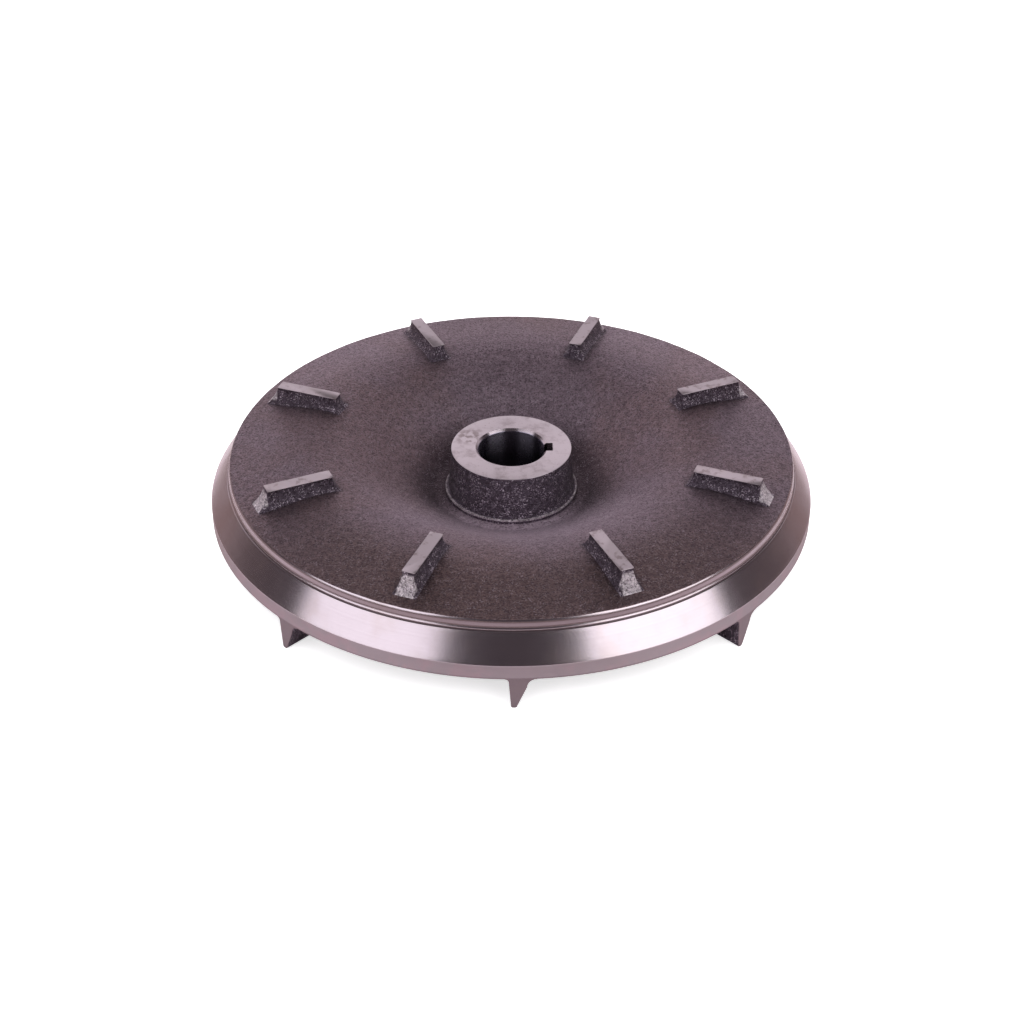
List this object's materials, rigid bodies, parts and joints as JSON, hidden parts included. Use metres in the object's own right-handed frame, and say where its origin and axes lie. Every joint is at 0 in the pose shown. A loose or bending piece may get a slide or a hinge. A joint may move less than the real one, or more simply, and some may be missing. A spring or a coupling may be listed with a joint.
{
  "type": "semi-open pump impeller",
  "caption": "Cast semi-open pump impeller: dished back disc with a keyed hub, short radial back ribs, a machined conical rim, and straight radial vanes under the disc.",
  "frame": {"origin": "on the shaft axis, in the plane of the free edges of the front vanes, which the part rests on", "axes": "+Z along the shaft axis towards the back of the impeller, +X towards the keyway"},
  "size_m": [0.4, 0.4, 0.0698],
  "materials": {
    "cast_skin": "dark brown-grey sand-cast skin with a fine grain",
    "machined_face": "bright turned and milled faces: rim, rib tops, hub face and bore"
  },
  "bodies": {
    "root": {"impeller_casting": "cast_skin"}
  },
  "joints": []
}
